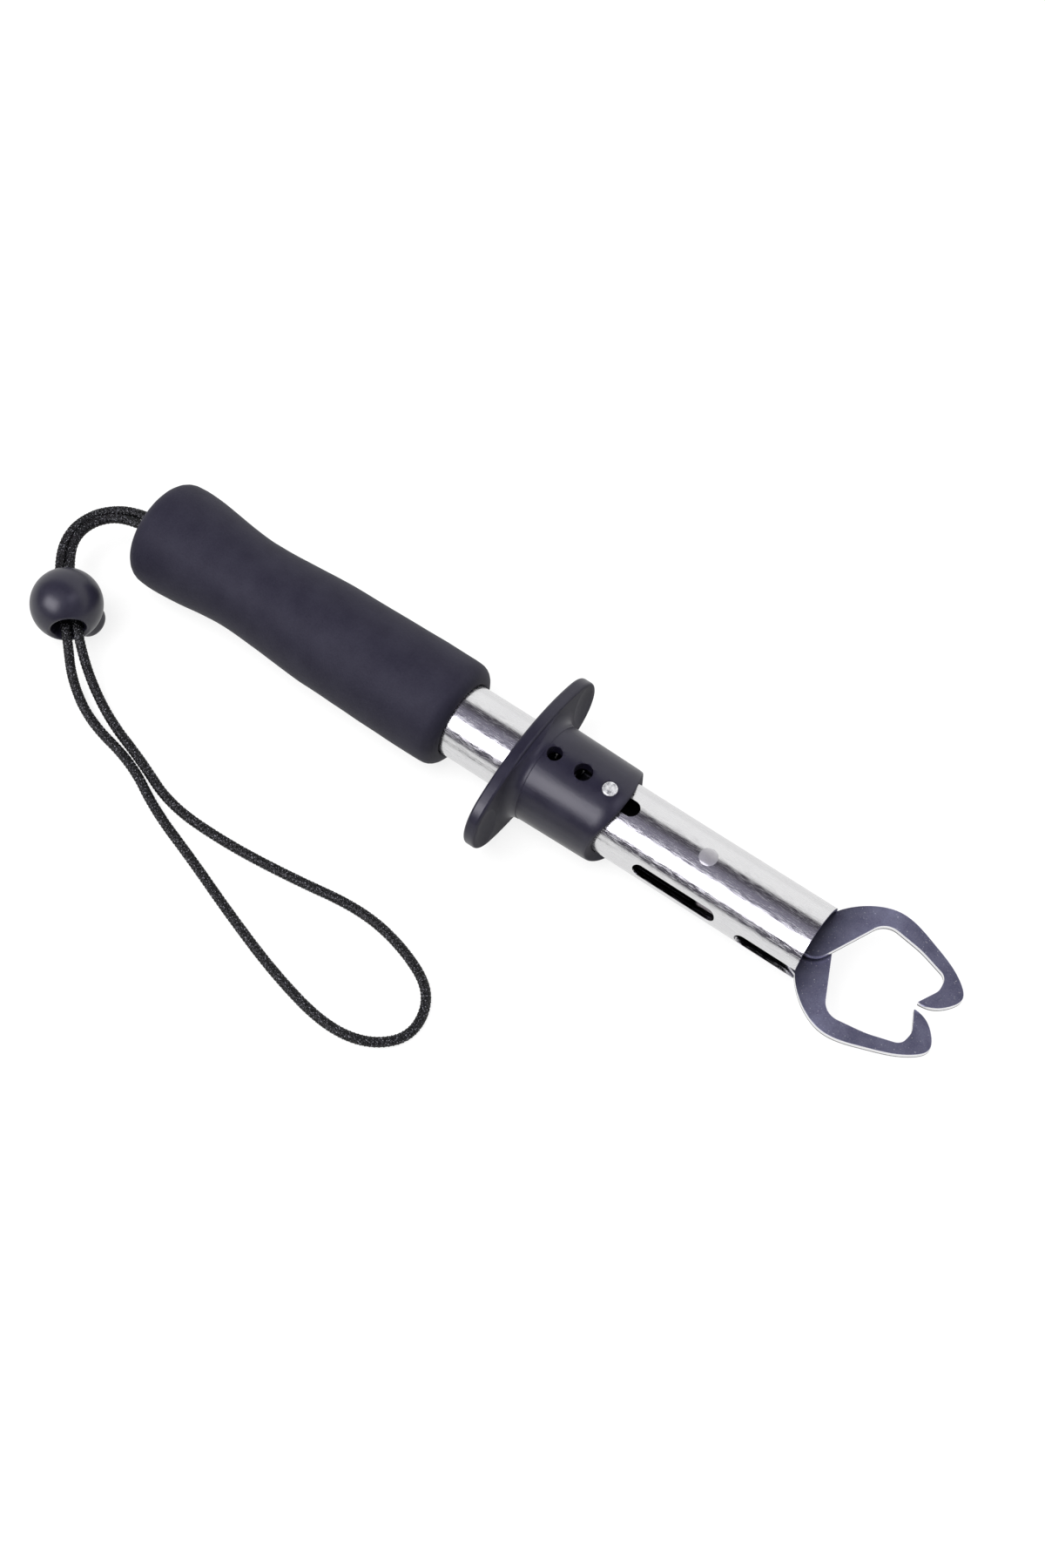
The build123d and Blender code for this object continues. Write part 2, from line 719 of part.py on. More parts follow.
with BuildPart() as lanyard_cord:
    with BuildLine():
        cord_path = FilletPolyline(*cord_route, radius=cord_radii)
    with BuildSketch(Plane(origin=cord_path @ 0, z_dir=cord_path % 0)):
        Circle(cord_od / 2)
    sweep(path=cord_path)
lanyard_cord.part.label = "lanyard_cord"
export_step(lanyard_cord.part, "parts/lanyard_cord.step")

cord_section = pi * (cord_od / 2) ** 2
print("cord length", round(cord_path.length, 1), "smallest radius", round(min(cord_radii), 1))
print("cord volume", round(lanyard_cord.part.volume), round(cord_path.length * cord_section))
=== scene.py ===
"""Looks of the fish lip grip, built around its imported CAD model."""

from math import cos, hypot, pi, radians, sin

import bpy
from mathutils import Matrix, Vector


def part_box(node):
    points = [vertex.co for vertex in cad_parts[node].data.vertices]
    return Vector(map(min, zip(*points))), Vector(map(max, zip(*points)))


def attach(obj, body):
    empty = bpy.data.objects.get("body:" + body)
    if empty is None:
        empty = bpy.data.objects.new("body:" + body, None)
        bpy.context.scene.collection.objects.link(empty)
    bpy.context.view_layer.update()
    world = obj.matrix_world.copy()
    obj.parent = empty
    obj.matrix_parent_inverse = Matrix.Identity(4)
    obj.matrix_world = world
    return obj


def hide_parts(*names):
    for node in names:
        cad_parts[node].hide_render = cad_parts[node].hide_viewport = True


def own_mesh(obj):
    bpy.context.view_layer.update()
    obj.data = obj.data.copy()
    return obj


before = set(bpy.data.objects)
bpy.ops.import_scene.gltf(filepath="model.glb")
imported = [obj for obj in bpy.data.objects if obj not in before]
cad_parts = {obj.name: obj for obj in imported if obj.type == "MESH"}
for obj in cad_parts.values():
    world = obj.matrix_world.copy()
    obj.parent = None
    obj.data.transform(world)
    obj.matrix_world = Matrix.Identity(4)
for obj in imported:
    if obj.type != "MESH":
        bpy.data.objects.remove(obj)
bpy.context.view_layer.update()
bpy.ops.object.select_all(action="DESELECT")
scene = bpy.context.scene
scene.view_settings.view_transform = "Standard"

# Camera. It stands above and to the lower right of the tool and looks down on it at about
# 63 degrees, with a lens long enough to show the whole lanyard.
camera_place = Vector((0.16610, -0.23578, 0.57786))
camera_azimuth = radians(35.643)
camera_tilt = radians(90 - 63.33)
camera_roll = radians(-0.145)
camera_data = bpy.data.cameras.new("camera")
camera_data.sensor_width = 36
camera_data.lens = 55.27
camera_data.clip_start = 0.01
camera = bpy.data.objects.new("camera", camera_data)
scene.collection.objects.link(camera)
camera.matrix_world = (
    Matrix.Translation(camera_place)
    @ Matrix.Rotation(camera_azimuth, 4, "Z")
    @ Matrix.Rotation(camera_tilt, 4, "X")
    @ Matrix.Rotation(camera_roll, 4, "Z")
)
scene.camera = camera

# Studio air. Camera rays see plain white, and matte skins get an even light. Polished metal
# sees a studio: a dark ceiling with a long white softbox beside it, a dark wall low down on
# that side, and a pale wall opposite.
studio_light = 0.62
plain_white = (1, 1, 1, 1)
fade_degrees_out = 3
fade_degrees_in = 2
end_fade = 0.06


def feed(tree, socket, value):
    """Links a socket to another node's output, or sets it where the value is a fixed one."""
    if isinstance(value, bpy.types.NodeSocket):
        tree.links.new(value, socket)
    else:
        socket.default_value = value


def add_math(tree, operation, *values, clamp=False):
    """Result of a sum on sockets or numbers."""
    node = tree.nodes.new("ShaderNodeMath")
    node.operation = operation
    node.use_clamp = clamp
    for socket, value in zip(node.inputs, values):
        feed(tree, socket, value)
    return node.outputs[0]


def add_range(tree, value, given, wanted=(0, 1), clamp=True):
    """Value carried over from a given range to a wanted one."""
    node = tree.nodes.new("ShaderNodeMapRange")
    node.clamp = clamp
    node.inputs["From Min"].default_value, node.inputs["From Max"].default_value = given
    node.inputs["To Min"].default_value, node.inputs["To Max"].default_value = wanted
    feed(tree, node.inputs["Value"], value)
    return node.outputs["Result"]


def add_mix(tree, factor, under, over, blend="MIX", kind="RGBA"):
    """Mix of two colours, or of two values where the kind is FLOAT."""
    node = tree.nodes.new("ShaderNodeMix")
    node.data_type = kind
    node.blend_type = blend
    for label, value in (("Factor", factor), ("A", under), ("B", over)):
        feed(tree, node.inputs[label], value)
    return node.outputs["Result"]


def grey(value):
    """Colour of a plain grey."""
    return (value, value, value, 1)


def add_ramp(tree, value, stops):
    """Colour ramp along a value, with its (position, colour) stops."""
    node = tree.nodes.new("ShaderNodeValToRGB")
    band = node.color_ramp
    while len(band.elements) < len(stops):
        band.elements.new(0.5)
    for element, (position, colour) in zip(band.elements, stops):
        element.position = position
        element.color = colour if len(colour) == 4 else (*colour, 1)
    feed(tree, node.inputs["Fac"], value)
    return node.outputs["Color"]


def split(tree, vector):
    """The X, Y and Z outputs of a vector."""
    node = tree.nodes.new("ShaderNodeSeparateXYZ")
    feed(tree, node.inputs[0], vector)
    return node.outputs


def share_of(tree, *outputs):
    """Sum of some Light Path outputs, held at 1."""
    total = outputs[0]
    for output in outputs[1:]:
        total = add_math(tree, "ADD", total, output, clamp=True)
    return total


def mix_shaders(tree, factor, first, second):
    """Shader mixed from two others."""
    node = tree.nodes.new("ShaderNodeMixShader")
    for socket, value in zip(node.inputs, (factor, first, second)):
        feed(tree, socket, value)
    return node.outputs[0]


world = bpy.data.worlds.new("studio")
scene.world = world
world.use_nodes = True
tree = world.node_tree
tree.nodes.clear()
heading = split(tree, tree.nodes.new("ShaderNodeTexCoord").outputs["Generated"])
around = add_range(tree, add_math(tree, "ARCTAN2", heading["Y"], heading["Z"]), (-pi, pi))
sideways = add_range(tree, heading["X"], (-1, 1))


def at_angle(degrees):
    """Place on a ramp of a direction, in degrees from straight up towards +Y."""
    return 0.5 + degrees / 360


def at_share(x):
    """Place on a ramp of a direction's X part."""
    return 0.5 + x / 2


def studio_panel(angles, shares, colour):
    """Light panel between two angles round the tool and two shares along it, soft-edged."""
    low, high = angles
    glow = add_ramp(tree, around, [
        (at_angle(low - fade_degrees_out), grey(0)),
        (at_angle(low + fade_degrees_in), colour),
        (at_angle(high - fade_degrees_in), colour),
        (at_angle(high + fade_degrees_out), grey(0)),
    ])
    left, right = shares
    width = add_ramp(tree, sideways, [
        (at_share(left - end_fade), grey(0)),
        (at_share(left + end_fade), grey(1)),
        (at_share(right - end_fade), grey(1)),
        (at_share(right + end_fade), grey(0)),
    ])
    return add_mix(tree, 1, glow, width, "MULTIPLY")


def air(colour, strength=1):
    """Background of a colour."""
    node = tree.nodes.new("ShaderNodeBackground")
    feed(tree, node.inputs["Color"], colour)
    node.inputs["Strength"].default_value = strength
    return node.outputs[0]


walls = add_ramp(tree, around, [
    (at_angle(-92), grey(0.75)),
    (at_angle(-89), (0.090, 0.085, 0.105)),
    (at_angle(-60), (0.090, 0.085, 0.105)),
    (at_angle(-28), (0.26, 0.25, 0.31)),
    (at_angle(-6), (0.24, 0.23, 0.29)),
    (at_angle(6), (0.18, 0.17, 0.22)),
    (at_angle(13), (0.08, 0.075, 0.095)),
    (at_angle(31), (0.06, 0.055, 0.070)),
    (at_angle(37), grey(0.97)),
    (at_angle(92), grey(0.97)),
])
for angles, shares, colour in (
    ((-61, -30), (-0.62, 0.10), (5.6, 5.5, 5.9)),
    ((-6, 26), (0.34, 0.60), (1.6, 1.55, 1.9)),
):
    walls = add_mix(tree, 1, walls, studio_panel(angles, shares, colour), "ADD")
ray = tree.nodes.new("ShaderNodeLightPath").outputs
in_metal = share_of(tree, ray["Is Glossy Ray"], ray["Is Transmission Ray"])
for_metal = mix_shaders(tree, in_metal, air(plain_white, studio_light), air(walls))
for_camera = mix_shaders(tree, ray["Is Camera Ray"], for_metal, air(plain_white))
world_out = tree.nodes.new("ShaderNodeOutputWorld")
tree.links.new(for_camera, world_out.inputs[0])

# Floor. A sheet of pale paper that the tool and its lanyard lie on. It is white to the eye
# and a little dimmer in the metal, and it keeps the tool's soft shadow.
floor_size = 6.0
floor_drop = 0.0002
paper_grey = 0.92
glow_share_to_eye = 0.82
glow_share_in_metal = 0.92
glow_to_eye = 1.0
glow_in_metal = 0.82
bpy.ops.mesh.primitive_plane_add(size=floor_size, location=(0, 0, -floor_drop))
ground = bpy.context.object
ground.name = "floor"
paper = bpy.data.materials.new("paper_sweep")
paper.use_nodes = True
tree = paper.node_tree
tree.nodes.clear()
ray = tree.nodes.new("ShaderNodeLightPath").outputs
to_eye = ray["Is Camera Ray"]
seen = share_of(tree, to_eye, ray["Is Glossy Ray"], ray["Is Transmission Ray"])
glow_share = add_range(tree, to_eye, (0, 1), (glow_share_in_metal, glow_share_to_eye))
matte = tree.nodes.new("ShaderNodeBsdfDiffuse")
matte.inputs["Color"].default_value = grey(paper_grey)
glow = tree.nodes.new("ShaderNodeEmission")
glow.inputs["Color"].default_value = plain_white
feed(tree, glow.inputs["Strength"], add_range(tree, to_eye, (0, 1), (glow_in_metal, glow_to_eye)))
lit = add_math(tree, "MULTIPLY", seen, glow_share)
paper_out = tree.nodes.new("ShaderNodeOutputMaterial")
tree.links.new(mix_shaders(tree, lit, matte.outputs[0], glow.outputs[0]), paper_out.inputs[0])
ground.data.materials.append(paper)


# Lamps. One big softbox high up and a little to the lanyard's side, and a weaker one behind
# the jaws. Metal doesn't show them, because it sees the studio air's own softboxes.
def softbox(name, place, aim, size, power):
    """Square area lamp that points at a spot."""
    lamp = bpy.data.lights.new(name, "AREA")
    lamp.size = size
    lamp.energy = power
    holder = bpy.data.objects.new(name, lamp)
    scene.collection.objects.link(holder)
    holder.location = place
    holder.rotation_euler = (Vector(aim) - Vector(place)).to_track_quat("-Z", "Y").to_euler()
    holder.visible_glossy = False


softbox("key_softbox", place=(-0.25, -0.50, 1.45), aim=(0, 0, 0.01), size=0.9, power=27)
softbox("fill_softbox", place=(0.45, 0.85, 1.05), aim=(0.03, 0, 0.01), size=0.8, power=9)

# Barrel. Drawn stainless tube, belt-polished along its length, which leaves fine streaks.
# Its slots are milled and their edges broken. The bore and the slots' walls are painted dark as
# painted shade, and only the walls near the mouth keep the bright polished colour.
tube_low, tube_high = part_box("barrel_tube")
tube_radius = (tube_high[2] - tube_low[2]) / 2
tube_middle_z = (tube_high[2] + tube_low[2]) / 2
broken_edge = 0.00010
# Painted shade colour for the bore and the slot walls.
bore_shade_colour = (0.07, 0.068, 0.08, 1)
bore_shade_below = 0.0004
bright_above = 0.0002
unshaded_walls_x = (0.066, 0.068)
unshaded_wall_depth = 0.00055
surface_reach = 0.00002
outward_share = 0.98


def piece_material(name, colour, metallic, roughness):
    """A new material, with its node tree and its Principled shader, plain so far."""
    finish = bpy.data.materials.new(name)
    finish.use_nodes = True
    shader = finish.node_tree.nodes["Principled BSDF"]
    shader.inputs["Base Color"].default_value = (*colour, 1)
    shader.inputs["Metallic"].default_value = metallic
    shader.inputs["Roughness"].default_value = roughness
    return finish, finish.node_tree, shader


def new_group(name, wanted, given):
    """Shader group with the sockets wanted (name, kind, default) and given (name, kind)."""
    group = bpy.data.node_groups.new(name, "ShaderNodeTree")
    for label, kind, default in wanted:
        socket = group.interface.new_socket(label, in_out="INPUT", socket_type=kind)
        socket.default_value = default
    for label, kind in given:
        group.interface.new_socket(label, in_out="OUTPUT", socket_type=kind)
    entry = group.nodes.new("NodeGroupInput")
    leave = group.nodes.new("NodeGroupOutput")
    return group, entry.outputs, leave.inputs


def add_noise(tree, place, scale, detail):
    """Soft noise at a place."""
    noise = tree.nodes.new("ShaderNodeTexNoise")
    noise.inputs["Detail"].default_value = detail
    feed(tree, noise.inputs["Vector"], place)
    feed(tree, noise.inputs["Scale"], scale)
    return noise.outputs["Fac"]


def add_vector_math(tree, operation, *values):
    """Result of a sum on vectors."""
    node = tree.nodes.new("ShaderNodeVectorMath")
    node.operation = operation
    for socket, value in zip(node.inputs, values):
        feed(tree, socket, value)
    return node.outputs["Value" if operation == "LENGTH" else "Vector"]


# Mottle varies a colour in soft patches with finer specks in them.
patch_span = (0.32, 0.68)
mottle, entry, leave = new_group(
    "mottle",
    [
        ("Dark", "NodeSocketColor", (0.02, 0.02, 0.02, 1)),
        ("Light", "NodeSocketColor", (0.05, 0.05, 0.05, 1)),
        ("Patch Scale", "NodeSocketFloat", 120.0),
        ("Speck Scale", "NodeSocketFloat", 1500.0),
        ("Specks", "NodeSocketFloat", 0.4),
    ],
    [("Color", "NodeSocketColor"), ("Mask", "NodeSocketFloat")],
)
here = mottle.nodes.new("ShaderNodeTexCoord").outputs["Object"]
patches = add_noise(mottle, here, entry["Patch Scale"], detail=3)
specks = add_noise(mottle, here, entry["Speck Scale"], detail=2)
both = add_mix(mottle, entry["Specks"], patches, specks, kind="FLOAT")
mask = add_range(mottle, both, patch_span)
tint = add_mix(mottle, mask, entry["Dark"], entry["Light"])
mottle.links.new(tint, leave["Color"])
mottle.links.new(mask, leave["Mask"])

# Grain is the height of a fine rough surface, which may be drawn out along the tool.
grain_span = (0.38, 0.68)
grain, entry, leave = new_group(
    "grain",
    [("Scale", "NodeSocketFloat", 2000.0), ("Stretch", "NodeSocketVector", (1, 1, 1))],
    [("Height", "NodeSocketFloat"), ("Mask", "NodeSocketFloat")],
)
here = grain.nodes.new("ShaderNodeTexCoord").outputs["Object"]
drawn = add_vector_math(grain, "MULTIPLY", here, entry["Stretch"])
fine = add_noise(grain, drawn, entry["Scale"], detail=4)
grain.links.new(fine, leave["Height"])
grain.links.new(add_range(grain, fine, grain_span), leave["Mask"])


def use_mottle(tree, shader, dark, light, patch_scale, speck_scale, specks):
    """Feeds a shader's base colour from the mottle group, and returns the group's outputs."""
    node = tree.nodes.new("ShaderNodeGroup")
    node.node_tree = mottle
    node.inputs["Dark"].default_value = (*dark, 1)
    node.inputs["Light"].default_value = (*light, 1)
    node.inputs["Patch Scale"].default_value = patch_scale
    node.inputs["Speck Scale"].default_value = speck_scale
    node.inputs["Specks"].default_value = specks
    tree.links.new(node.outputs["Color"], shader.inputs["Base Color"])
    return node.outputs


def use_grain(tree, shader, scale, depth, stretch=(1, 1, 1)):
    """Feeds a shader's normal from the grain group, with its relief's depth in metres."""
    node = tree.nodes.new("ShaderNodeGroup")
    node.node_tree = grain
    node.inputs["Scale"].default_value = scale
    node.inputs["Stretch"].default_value = stretch
    bump = tree.nodes.new("ShaderNodeBump")
    bump.inputs["Distance"].default_value = depth
    tree.links.new(node.outputs["Height"], bump.inputs["Height"])
    tree.links.new(bump.outputs["Normal"], shader.inputs["Normal"])
    return node.outputs


def vary_roughness(tree, shader, mask, low, high):
    """Roughness from low, where a mask is 0, to high, where it is 1, and on past it."""
    feed(tree, shader.inputs["Roughness"], add_range(tree, mask, (0, 1), (low, high), clamp=False))


def select_only(piece):
    """Makes a piece the only one that operators act on."""
    bpy.ops.object.select_all(action="DESELECT")
    piece.select_set(True)
    bpy.context.view_layer.objects.active = piece


def finish_with(piece, kind, **settings):
    """Adds a modifier with its settings and applies it."""
    select_only(piece)
    modifier = piece.modifiers.new(kind.lower(), kind)
    for setting, value in settings.items():
        setattr(modifier, setting, value)
    bpy.ops.object.modifier_apply(modifier=modifier.name)


def eased(node, name, body, width, material, segments=2):
    """Copy of a CAD piece with its sharp edges eased, which stands for that piece."""
    weld_gap = 0.000002
    flat_within = radians(0.3)
    sharp_above = radians(38)
    smooth_below = radians(32)
    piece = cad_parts[node].copy()
    piece.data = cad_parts[node].data.copy()
    piece.name = name
    piece.parent = None
    scene.collection.objects.link(piece)
    piece.matrix_world = Matrix.Identity(4)
    for modifier in list(piece.modifiers):
        piece.modifiers.remove(modifier)
    select_only(piece)
    bpy.ops.object.mode_set(mode="EDIT")
    bpy.ops.mesh.select_all(action="SELECT")
    bpy.ops.mesh.remove_doubles(threshold=weld_gap)
    bpy.ops.mesh.dissolve_limited(angle_limit=flat_within)
    bpy.ops.object.mode_set(mode="OBJECT")
    finish_with(
        piece,
        "BEVEL",
        width=width,
        segments=segments,
        limit_method="ANGLE",
        angle_limit=sharp_above,
        use_clamp_overlap=True,
    )
    select_only(piece)
    bpy.ops.object.shade_smooth_by_angle(angle=smooth_below)
    finish_with(piece, "WEIGHTED_NORMAL", weight=90, keep_sharp=True)
    piece.data.materials.clear()
    piece.data.materials.append(material)
    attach(piece, body)
    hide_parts(node)
    return piece


mirror_steel, tree, shader = piece_material(
    "belt_polished_steel", (0.80, 0.80, 0.81), metallic=1.0, roughness=0.09
)
outside = use_mottle(
    tree, shader, dark=(0.77, 0.765, 0.78), light=(0.82, 0.82, 0.825),
    patch_scale=160, speck_scale=2600, specks=0.5,
)
streaks = use_grain(tree, shader, scale=5600, depth=0.0000011, stretch=(0.07, 1, 1))
vary_roughness(tree, shader, streaks["Mask"], low=0.08, high=0.38)
spot = tree.nodes.new("ShaderNodeTexCoord").outputs["Object"]
from_axis = add_vector_math(tree, "SUBTRACT", spot, (0, 0, tube_middle_z))
across_tube = add_vector_math(tree, "MULTIPLY", from_axis, (0, 1, 1))
off_axis = add_vector_math(tree, "LENGTH", across_tube)
mouth_wall = add_range(tree, split(tree, spot)["X"], unshaded_walls_x, (0, unshaded_wall_depth))
# Painted shade: below the outer skin, in the bore and on the slot walls, the colour turns dark,
# except on the walls near the mouth.
bore_shade_mask = add_range(
    tree,
    add_math(tree, "ADD", off_axis, mouth_wall),
    (tube_radius - bore_shade_below, tube_radius - bright_above),
)
skin_or_bore_shade = add_mix(tree, bore_shade_mask, bore_shade_colour, outside["Color"])
feed(tree, shader.inputs["Base Color"], skin_or_bore_shade)
barrel = eased("barrel_tube", "barrel", "barrel", broken_edge, mirror_steel)
normals = []
for polygon in barrel.data.polygons:
    for corner in polygon.vertices:
        place = barrel.data.vertices[corner].co
        out = Vector((0, place.y, place.z - tube_middle_z))
        on_skin = abs(out.length - tube_radius) < surface_reach
        outward = on_skin and polygon.normal.dot(out.normalized()) > outward_share
        normals.append(out.normalized() if outward else (0, 0, 0))
barrel.data.normals_split_custom_set(normals)

# Jaws. Two stamped stainless plates, tumbled to a satin face with tiny nicks. Their cut edges are
# painted bright as a painted highlight, above a dark band at each edge's foot that is painted
# shadow.
# Their faces are painted dark near the tube's mouth as painted shade, with a painted highlight just
# beyond. Their heels are ground where they ride in the side slots, and their tails, inside the
# tube, are painted near-black as painted shade.
plate_pitch = 0.0025
lower_plate_z = 0.01335
# Painted shadow: the lowest part of each cut edge is dark.
edge_shadow_share = (0.20, 0.34)
face_tilt = (0.55, 0.92)
hook_reach_x = (0.0865, 0.1265)
# Painted shade near the tube's mouth, then a painted highlight, then the plain face, from root to
# crown.
hook_shade_and_highlight = [(0.0, 0.28), (0.22, 1.10), (0.32, 1.35), (0.55, 1.0)]
plate_span = 0.1
# Painted shade: the tails, from here back, get a near-black colour.
tail_shade_x = [(0.0700, 0), (0.0720, 1)]
ground_heel_x = [(0.0572, 0), (0.0580, 1), (0.0650, 1), (0.0670, 0)]
plate_edge = 0.00022
edge_shadow_colour = (0.05, 0.05, 0.06, 1)
# Painted highlight: the cut edges get a near-white colour.
edge_highlight_colour = (0.93, 0.93, 0.94, 1)
tail_shade_colour = (0.014, 0.014, 0.017, 1)
heel_colour = (0.23, 0.21, 0.225, 1)
speck_edge = 0.035


def speckle(tree, under, scale, threshold, colour):
    """Sparse bright specks of a colour over another one, where a fine noise peaks."""
    spot = tree.nodes.new("ShaderNodeTexCoord").outputs["Object"]
    fine = add_noise(tree, spot, scale, detail=2)
    peaks = add_range(tree, fine, (threshold, threshold + speck_edge))
    return add_mix(tree, peaks, under, (*colour, 1))


satin_steel, tree, shader = piece_material(
    "tumbled_steel", (0.40, 0.38, 0.47), metallic=1.0, roughness=0.42
)
faces = use_mottle(
    tree, shader, dark=(0.20, 0.20, 0.30), light=(0.36, 0.365, 0.50),
    patch_scale=190, speck_scale=2400, specks=0.35,
)
use_grain(tree, shader, scale=3200, depth=0.000012)
where = tree.nodes.new("ShaderNodeTexCoord").outputs
spot = split(tree, where["Object"])
flat = add_math(tree, "ABSOLUTE", split(tree, where["Normal"])["Z"])
face_mask = add_range(tree, flat, face_tilt)
nicked = speckle(tree, faces["Color"], scale=2100, threshold=0.685, colour=(0.78, 0.78, 0.82))
along_hook = add_range(tree, spot["X"], hook_reach_x)
# Painted light: the faces are darkened at the hook's root as painted shade and brightened beyond it
# as a painted highlight.
hook_painted_light = add_ramp(tree, along_hook, [(share, grey(level)) for share, level in hook_shade_and_highlight])
face_with_painted_light = add_mix(tree, 1, nicked, hook_painted_light, "MULTIPLY")
plate_steps = add_math(
    tree, "MULTIPLY_ADD", spot["Z"], 1 / plate_pitch, -lower_plate_z / plate_pitch
)
# Painted light on the cut edges: a bright painted highlight above a dark painted shadow band.
edge_shadow_mask = add_range(tree, add_math(tree, "FRACT", plate_steps), edge_shadow_share)
edge_painted_light = add_mix(tree, edge_shadow_mask, edge_shadow_colour, edge_highlight_colour)
edge_or_face = add_mix(tree, face_mask, edge_painted_light, face_with_painted_light)
along_plate = add_range(tree, spot["X"], (0, plate_span))
tail_shade_mask, heel_mask = (
    add_ramp(tree, along_plate, [(x / plate_span, grey(level)) for x, level in stops])
    for stops in (tail_shade_x, ground_heel_x)
)
# Painted shade on the tails inside the tube.
tail_painted_shade = add_mix(tree, tail_shade_mask, tail_shade_colour, edge_or_face)
ground_heel = add_mix(tree, heel_mask, tail_painted_shade, heel_colour)
feed(tree, shader.inputs["Base Color"], ground_heel)
feed(tree, shader.inputs["Metallic"], add_math(tree, "SUBTRACT", 1, heel_mask))
vary_roughness(tree, shader, face_mask, low=0.22, high=0.44)
eased("upper_jaw", "upper_hook", "upper_jaw", plate_edge, satin_steel)
eased("lower_jaw", "lower_hook", "lower_jaw", plate_edge, satin_steel)

# Finger collar. One moulding of black nylon that slides on the tube, with an oval flange for
# two fingers. Its skin is a soft satin, and the faces that look forward are rougher, as the
# blasted side of the mould leaves them.
forward_tilt = (0.35, 0.9)
blasted_extra = 5.0
collar_edge = 0.0003
black_nylon, tree, shader = piece_material(
    "moulded_nylon", (0.011, 0.010, 0.020), metallic=0.0, roughness=0.31
)
moulded = use_mottle(
    tree, shader, dark=(0.006, 0.005, 0.013), light=(0.013, 0.012, 0.023),
    patch_scale=120, speck_scale=2600, specks=0.3,
)
use_grain(tree, shader, scale=1500, depth=0.000018)
facing = split(tree, tree.nodes.new("ShaderNodeTexCoord").outputs["Normal"])
blasted = add_range(tree, facing["X"], forward_tilt, (0, blasted_extra))
rough_mask = add_math(tree, "MAXIMUM", moulded["Mask"], blasted)
vary_roughness(tree, shader, rough_mask, low=0.28, high=0.37)
eased("trigger_collar", "finger_collar", "trigger", collar_edge, black_nylon)

# Foam grip. EVA foam, turned with a waist and a swell, and bonded on the rear of the tube.
# Its rear end is closed, but for the hole that the lanyard leaves by.
grip_low, grip_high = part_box("grip_sleeve")
grip_rear = grip_low[0]
grip_front = grip_high[0]
grip_middle_z = (grip_low[2] + grip_high[2]) / 2
grip_sides = 144
ring_step = 0.0016
rear_edge = 0.0050
front_edge = 0.0040
rear_radius = 0.01545
front_radius = 0.01530
cord_hole = 0.0038
grip_bore = 0.01055
rear_wall = 0.0030
skin_radius = 0.0118
ring_weld_gap = 0.00002
swell_size = 0.014
swell_depth = 0.0003
swell_level = 0.62
rear_face = [
    (grip_rear + rear_wall, cord_hole),
    (grip_rear + 0.0007, cord_hole),
    (grip_rear + 0.0001, cord_hole + 0.0006),
    (grip_rear, 0.0060),
    (grip_rear, 0.0085),
]
waist_and_swell = [
    (grip_rear + 0.0070, 0.01558),
    (grip_rear + 0.0325, 0.01345),
    (grip_rear + 0.0625, 0.01500),
    (grip_front - 0.0100, 0.01540),
    (grip_front - 0.0055, 0.01537),
]
front_mouth = [
    (grip_front, 0.01105),
    (grip_front - 0.0005, grip_bore),
    (grip_rear + rear_wall, grip_bore),
]


def ease(share):
    """Share of a smooth step, level at both ends."""
    return share * share * (3 - 2 * share)


def turned_rings(stations, step):
    """Rings of a soft turned shape, (along, radius), between its crowns and waists."""
    rings = []
    for (start, start_radius), (end, end_radius) in zip(stations, stations[1:]):
        count = max(1, round((end - start) / step))
        for index in range(count):
            share = index / count
            radius = start_radius + (end_radius - start_radius) * ease(share)
            rings.append((start + (end - start) * share, radius))
    rings.append(stations[-1])
    return rings


def lathe(name, rings, sides, centre_z):
    """Ring extruded along X through (along, radius) rings, and closed on itself."""
    first, radius = rings[0]
    bpy.ops.object.select_all(action="DESELECT")
    bpy.ops.mesh.primitive_circle_add(
        vertices=sides, radius=radius, location=(first, 0, centre_z), rotation=(0, pi / 2, 0)
    )
    piece = bpy.context.object
    piece.name = name
    bpy.ops.object.transform_apply(location=True, rotation=True, scale=True)
    bpy.ops.object.mode_set(mode="EDIT")
    bpy.ops.mesh.select_all(action="SELECT")
    for (before, before_radius), (along, radius) in zip(rings, rings[1:] + rings[:1]):
        bpy.ops.mesh.extrude_edges_move(TRANSFORM_OT_translate={"value": (along - before, 0, 0)})
        growth = radius / before_radius
        bpy.ops.transform.resize(value=(1, growth, growth), center_override=(along, 0, centre_z))
    bpy.ops.mesh.select_all(action="SELECT")
    bpy.ops.mesh.remove_doubles(threshold=ring_weld_gap)
    bpy.ops.mesh.normals_make_consistent(inside=False)
    bpy.ops.object.mode_set(mode="OBJECT")
    return piece


def rounded_rim(along, radius, edge_radius, facing, steps=7):
    """Rings of a quarter round at an end; facing is -1 at the rear, where it comes first."""
    rings = []
    for index in range(steps + 1):
        angle = pi / 2 * index / steps
        rings.append((
            along - facing * edge_radius * (1 - sin(angle)),
            radius - edge_radius * (1 - cos(angle)),
        ))
    return rings[::-1] if facing < 0 else rings


